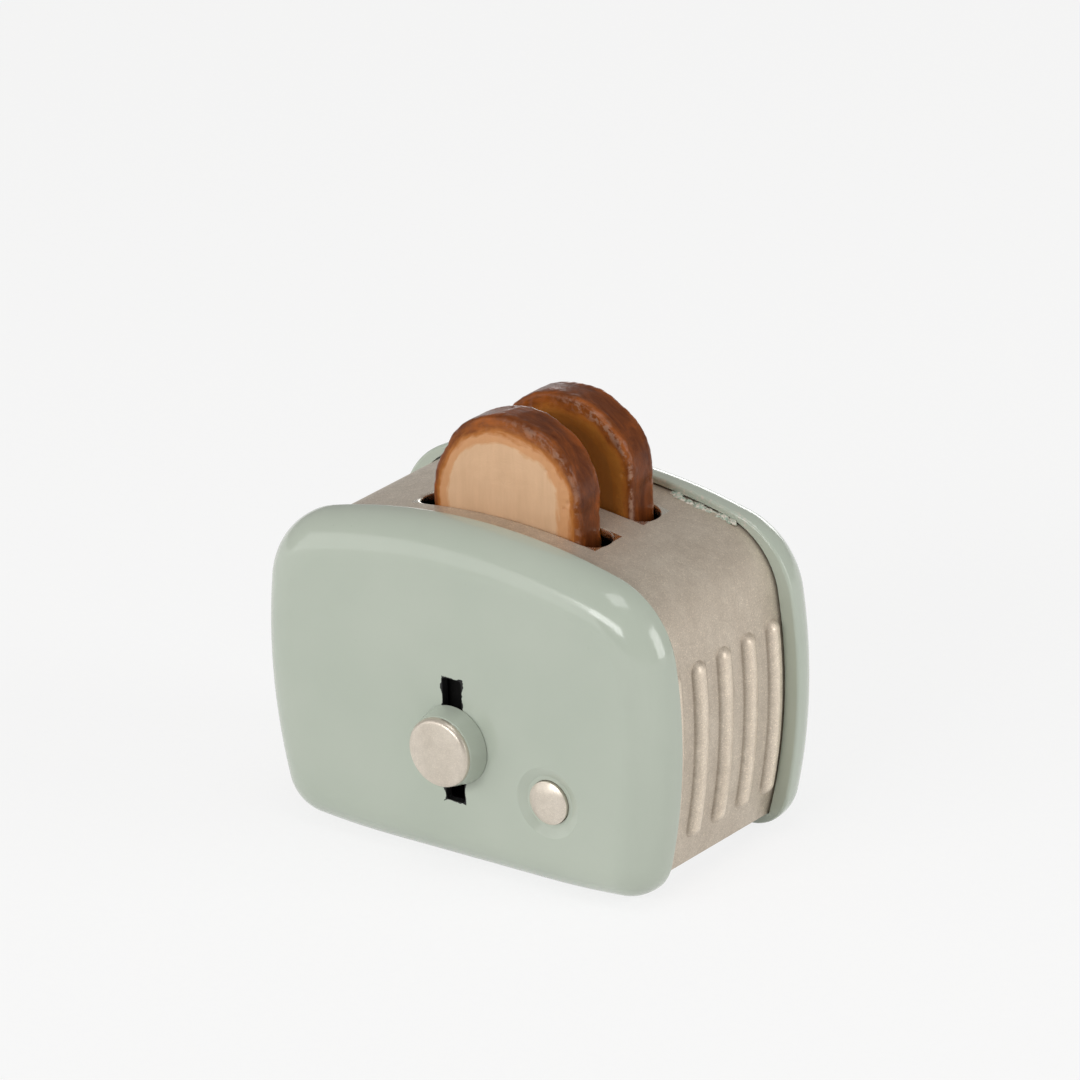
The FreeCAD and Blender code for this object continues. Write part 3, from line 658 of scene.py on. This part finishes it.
def make_slice(name, node, finish, seed, shift, ridge_highlight_strength, pits):
    """A slice of resin bread, dented by hand, with the attributes that its finish reads."""
    low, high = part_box(node)
    middle = (low + high) / 2
    middle.x += shift * MM
    crown_z = high.z - CROWN_RISE - CROWN_GAP
    depth = high.y - low.y
    bread = slice_block(name, middle, depth, crown_z, low.z)

    generator = random.Random(seed)
    offset = Vector((generator.uniform(-9, 9), generator.uniform(-9, 9), generator.uniform(-9, 9)))
    pit_places = [(Vector((middle.x + x * MM, low.y, high.z + z * MM)), size * MM) for x, z, size in pits]
    bakes = []
    ridge_highlight_values = []
    strokes = []
    moved = []
    for vertex in bread.data.vertices:
        point = vertex.co.copy()
        normal = vertex.normal.copy()
        across = point.x - middle.x
        share = across / CROWN_HALF_WIDTH
        rise = (point.z - crown_z) / CROWN_RISE

        # Depth in from the outline in mm, and the way along it in metres
        if rise > 0:
            inside = (1.0 - math.hypot(share, rise)) * (CROWN_RISE + CROWN_HALF_WIDTH) / 2 / MM
            along = math.atan2(rise, share) * CROWN_HALF_WIDTH
        else:
            inside = (NECK_HALF_WIDTH - abs(across)) / MM
            beyond = crown_z - point.z
            along = -beyond if across > 0 else math.pi * CROWN_HALF_WIDTH + beyond
        strokes.extend((along, inside * MM, point.y))

        dark, whole = rim_widths(share, rise)
        if inside < dark:
            baked = inside / dark
        else:
            baked = 1 + (inside - dark) / (whole - dark)
        from_face = (depth / 2 - abs(point.y - middle.y)) / MM
        if from_face > BAND_START:
            baked = min(baked, 0.2 - (from_face - BAND_START) * 1.2)
        bakes.append(clamped(baked, -1.5, 4.0))
        # Strength of the painted highlight along the right edge next to the crust
        right_edge = clamped((share + 0.15) * 2.5)
        ridge_highlight_values.append(right_edge * ridge_highlight_strength if from_face < RIDGE_HIGHLIGHT_END else 0.0)

        wobble = wobbles(point, offset, WOBBLE_COARSE) + wobbles(point, offset, WOBBLE_FINE)
        if -0.5 < baked < 1.6:
            wobble += wobbles(point, offset, WOBBLE_RIM)
        above_foot = clamped((point.z - low.z) / (2 * MM))
        place = point + normal * (wobble * MM * above_foot)
        if from_face < RIDGE_END:
            ridge = math.exp(-((inside - RIDGE_PLACE) / RIDGE_WIDTH) ** 2) * right_edge
            place += normal * ridge * RIDGE_HEIGHT * (0.6 + noise.noise(point * RIDGE_GRAIN + offset))
        if rise > -0.25:
            if across < 0:
                place.x -= across * LEFT_SLOPE * min(1.0, (rise + 0.25) * 1.6)
            place.x += CROWN_LEAN * max(0.0, rise) ** 3
        for centre, size in pit_places:
            gap = (place - centre).length
            if gap < 3 * size:
                place.y += PIT_DEPTH * math.exp(-(gap / size) ** 2)
        place.z = min(place.z, high.z - TOP_MARGIN)
        moved.extend(place)

    attributes = bread.data.attributes
    attributes.new("bake", "FLOAT", "POINT").data.foreach_set("value", bakes)
    attributes.new("painted_ridge_highlight", "FLOAT", "POINT").data.foreach_set("value", ridge_highlight_values)
    attributes.new("brush", "FLOAT_VECTOR", "POINT").data.foreach_set("vector", strokes)
    bread.data.vertices.foreach_set("co", moved)
    bread.data.update()
    dress(bread, finish)
    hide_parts(node)
    return bread


# Pits: place across, place below the top, and size, in mm
FRONT_PITS = ((8.9, -8.6, 0.28), (8.3, -9.3, 0.16), (5.9, -5.4, 0.16), (-4.6, -12.6, 0.12),
              (7.7, -4.9, 0.12))
REAR_PITS = ((9.0, -8.0, 0.26), (8.2, -5.2, 0.14), (7.0, -4.0, 0.12), (-5.2, -8.0, 0.12))

front_bread = make_slice("toast_front", "bread_slice_front", BREAD,
                         seed=3, shift=0.1, ridge_highlight_strength=0.55, pits=FRONT_PITS)
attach(front_bread, "front_slice")
rear_bread = make_slice("toast_rear", "bread_slice_rear", DARK_BREAD,
                        seed=8, shift=0.85, ridge_highlight_strength=1.0, pits=REAR_PITS)
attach(rear_bread, "rear_slice")


# Dried paint along the seams

def make_residue(name, start, end, count, largest, seed):
    """Small uneven lumps from start to end, fused into one crust; largest is in mm."""
    generator = random.Random(seed)
    crust = None
    for number in range(count):
        share = (number + generator.uniform(0.1, 0.9)) / count
        place = Vector(start).lerp(Vector(end), share)
        place.y += generator.uniform(-0.3, 0.3) * MM
        size = generator.uniform(0.45, 1.0) * largest * MM
        flat = (generator.uniform(1.2, 2.6), generator.uniform(0.9, 1.7), 0.7)
        bpy.ops.mesh.primitive_ico_sphere_add(subdivisions=2, radius=size, location=place, scale=flat)
        lump = bpy.context.object
        settle(lump)
        if crust is None:
            crust = lump
        else:
            joined(crust, lump)
    crust.name = name
    crust.data.name = name
    fuse(crust, RESIDUE_VOXEL)
    rough = crust.modifiers.new("rough", "DISPLACE")
    uneven = bpy.data.textures.new(name + "_grain", "CLOUDS")
    uneven.noise_scale = 0.3 * MM
    rough.texture = uneven
    rough.texture_coords = "LOCAL"
    rough.strength = 0.25 * MM
    apply_all(crust)
    dress(crust, RESIDUE)
    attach(crust, "housing")


rear_seam_y = rear_lip_y - 0.3 * MM
front_seam_y = front_lip_y + 0.1 * MM
make_residue("rear_seam_residue", (11.6 * MM, rear_seam_y, 38.72 * MM),
             (20.2 * MM, rear_seam_y, 36.9 * MM), count=19, largest=0.42, seed=5)
make_residue("front_seam_residue", (17.2 * MM, front_seam_y, 37.6 * MM),
             (18.1 * MM, front_seam_y, 37.4 * MM), count=2, largest=0.2, seed=9)


# Floor, light and camera

def mix_shaders(tree, amount, first, second, output):
    """Sends a mix of two shaders to the output node."""
    mixer = tree.nodes.new("ShaderNodeMixShader")
    tree.links.new(amount, mixer.inputs["Fac"])
    tree.links.new(first, mixer.inputs[1])
    tree.links.new(second, mixer.inputs[2])
    tree.links.new(mixer.outputs["Shader"], tree.nodes[output].inputs["Surface"])


def make_floor():
    """Pale floor, close to white where the camera sees it."""
    bpy.ops.mesh.primitive_plane_add(size=6.0, location=(0, 0, cad_low.z))
    floor = bpy.context.object
    floor.name = "pale_floor"
    material, tree, surface, place = shader("pale_floor_finish")
    fibre = clouds(tree, place, 900, detail=3)
    tree.links.new(ramp(tree, fibre, ((0.3, (0.86, 0.86, 0.855)), (0.7, (0.89, 0.89, 0.885)))),
                   surface.inputs["Base Color"])
    surface.inputs["Roughness"].default_value = 0.9
    white = tree.nodes.new("ShaderNodeEmission")
    white.inputs["Color"].default_value = (1, 1, 1, 1)
    white.inputs["Strength"].default_value = 1.0
    ray = tree.nodes.new("ShaderNodeLightPath")
    seen = sums(tree, "MAXIMUM", ray.outputs["Is Camera Ray"],
                sums(tree, "MAXIMUM", ray.outputs["Is Glossy Ray"], ray.outputs["Is Transmission Ray"]))
    mix_shaders(tree, sums(tree, "MULTIPLY", seen, 0.8), surface.outputs["BSDF"],
                white.outputs["Emission"], "Material Output")
    floor.data.materials.append(material)


def soft_light(name, place, aim, width, height, power):
    """Rectangular lamp at a place, turned to the aim; sizes in metres, power in watts."""
    light = bpy.data.lights.new(name, "AREA")
    light.shape = "RECTANGLE"
    light.size = width
    light.size_y = height
    light.energy = power
    lamp = bpy.data.objects.new(name, light)
    bpy.context.scene.collection.objects.link(lamp)
    lamp.location = place
    lamp.rotation_mode = "QUATERNION"
    lamp.rotation_quaternion = (Vector(aim) - Vector(place)).to_track_quat("-Z", "Y")


def make_world():
    """Soft, slightly warm room light, and white where the camera looks past the floor."""
    world = bpy.data.worlds.new("studio")
    bpy.context.scene.world = world
    world.use_nodes = True
    tree = world.node_tree
    room = tree.nodes["Background"]
    room.inputs["Color"].default_value = (1.0, 0.985, 0.965, 1.0)
    room.inputs["Strength"].default_value = 0.33
    white = tree.nodes.new("ShaderNodeBackground")
    white.inputs["Color"].default_value = (1, 1, 1, 1)
    white.inputs["Strength"].default_value = 1.0
    ray = tree.nodes.new("ShaderNodeLightPath")
    mix_shaders(tree, ray.outputs["Is Camera Ray"], room.outputs["Background"],
                white.outputs["Background"], "World Output")


def make_camera():
    """Camera at the photograph's viewpoint, with the picture's centre moved off the target."""
    azimuth = math.radians(VIEW_AZIMUTH)
    elevation = math.radians(VIEW_ELEVATION)
    roll = math.radians(VIEW_ROLL)
    back = Vector((math.sin(azimuth) * math.cos(elevation), -math.cos(azimuth) * math.cos(elevation),
                   math.sin(elevation)))
    right = Vector((math.cos(azimuth), math.sin(azimuth), 0.0))
    up = back.cross(right)
    level_right = right * math.cos(roll) + up * math.sin(roll)
    level_up = up * math.cos(roll) - right * math.sin(roll)
    lens = bpy.data.cameras.new("photo_view")
    lens.lens = VIEW_LENS
    lens.sensor_width = 36.0
    lens.clip_start = 0.05
    lens.clip_end = 20.0
    camera = bpy.data.objects.new("photo_view", lens)
    bpy.context.scene.collection.objects.link(camera)
    target = Vector((0.0, middle_y, VIEW_TARGET_Z))
    camera.location = target + back * VIEW_DISTANCE + level_up * VIEW_RISE + level_right * VIEW_SIDE
    camera.rotation_mode = "QUATERNION"
    camera.rotation_quaternion = Matrix((level_right, level_up, back)).transposed().to_quaternion()
    bpy.context.scene.camera = camera


make_floor()
make_world()
make_camera()
centre = (0.0, middle_y, 0.02)
soft_light("front", (-0.02, -0.82, 0.38), centre, 0.60, 0.20, 2.75)
soft_light("front_left", (-0.55, -0.66, 0.16), centre, 0.80, 0.60, 1.9)
soft_light("right_rear", (0.66, 0.16, 0.24), centre, 0.30, 0.40, 1.75)
soft_light("overhead", (0.12, -0.10, 0.66), centre, 0.30, 0.24, 0.65)
soft_light("rear", (-0.36, 0.80, 0.09), centre, 0.50, 0.18, 0.9)

bpy.context.scene.view_settings.view_transform = "Standard"
